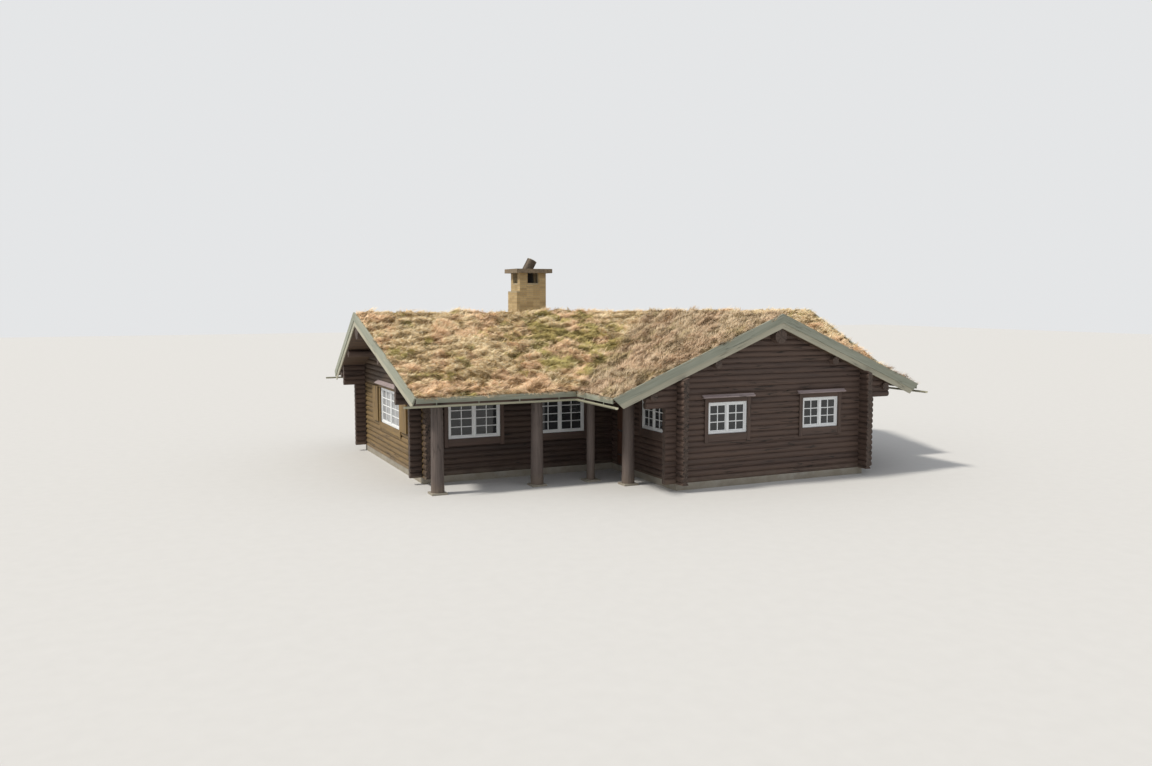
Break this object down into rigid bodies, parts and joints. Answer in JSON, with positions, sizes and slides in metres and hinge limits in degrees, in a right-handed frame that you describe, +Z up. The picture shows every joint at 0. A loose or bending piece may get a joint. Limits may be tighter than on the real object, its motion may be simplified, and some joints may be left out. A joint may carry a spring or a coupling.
{
  "type": "turf house",
  "caption": "Single storey round-log house with a turf roof, a cross wing, a post porch in the inner corner, a brick chimney and a door that opens.",
  "frame": {"origin": "centre of the main house in plan, at the ground on the plinth's underside", "axes": "+X along the ridge of the main house, away from the porch; +Z up; the cross wing stands out towards -Y"},
  "size_m": [17.62, 13.35, 6.6948],
  "materials": {
    "concrete": "pale cast concrete, dusty and a little stained",
    "floor_wood": "plain floor boards, satin",
    "log_wood": "round logs with dark brown weathered stain",
    "post_wood": "grey-brown weathered log with drying cracks",
    "beam_wood": "round roof logs with dark brown stain",
    "roof_boards": "brown stained boards",
    "turf": "dry straw-coloured grass turf with green moss",
    "board_stain": "weathered grey-green opaque stain",
    "gutter_plastic": "pale beige, faded",
    "window_paint": "white gloss paint",
    "window_glass": "clear double glazing",
    "trim_wood": "brown stained planks",
    "shutter_wood": "ochre weathered boards",
    "door_wood": "brown stained upright planks",
    "handle_metal": "satin",
    "brick": "yellow-brown brick with grey mortar, weathered",
    "slab_concrete": "weathered cast slab",
    "cowl_metal": "dull grey metal, weathered"
  },
  "bodies": {
    "house": {"plinth": "concrete", "floor_slab": "concrete", "floor_boards": "floor_wood", "front_wall": "log_wood", "front_wall_right": "log_wood", "rear_wall": "log_wood", "left_gable_wall": "log_wood", "right_gable_wall": "log_wood", "wing_front_wall": "log_wood", "wing_left_wall": "log_wood", "wall_beside_door": "log_wood", "wall_over_door": "log_wood", "wing_right_wall": "log_wood", "post_pads": "concrete", "porch_posts": "post_wood", "porch_beam": "beam_wood", "main_ridge_log": "beam_wood", "wing_ridge_log": "beam_wood", "main_purlins": "beam_wood", "wing_purlins": "beam_wood", "wing_eave_purlins": "beam_wood", "rear_eave_purlin": "beam_wood", "deck_front_left": "roof_boards", "deck_front_right": "roof_boards", "deck_back": "roof_boards", "deck_wing_left": "roof_boards", "deck_wing_right": "roof_boards", "turf_front_left": "turf", "turf_front_right": "turf", "turf_back": "turf", "turf_wing_left": "turf", "turf_wing_right": "turf", "barge_left": "board_stain", "barge_right": "board_stain", "barge_wing": "board_stain", "eave_boards": "board_stain", "gutters": "gutter_plastic", "window_frames": "window_paint", "window_glass": "window_glass", "window_trim": "trim_wood", "window_shutters": "shutter_wood", "door_frame": "trim_wood", "chimney_stack": "brick", "chimney_slab": "slab_concrete", "chimney_cowl": "cowl_metal"},
    "door": {"door_leaf": "door_wood", "door_handle": "handle_metal"}
  },
  "joints": [
    {"name": "door_hinge", "type": "hinge", "parent": "house", "child": "door", "pos_m": [-1.612, -3.979, 1.2], "axis": [0, 0, -1], "range_deg": [0, 100]}
  ]
}
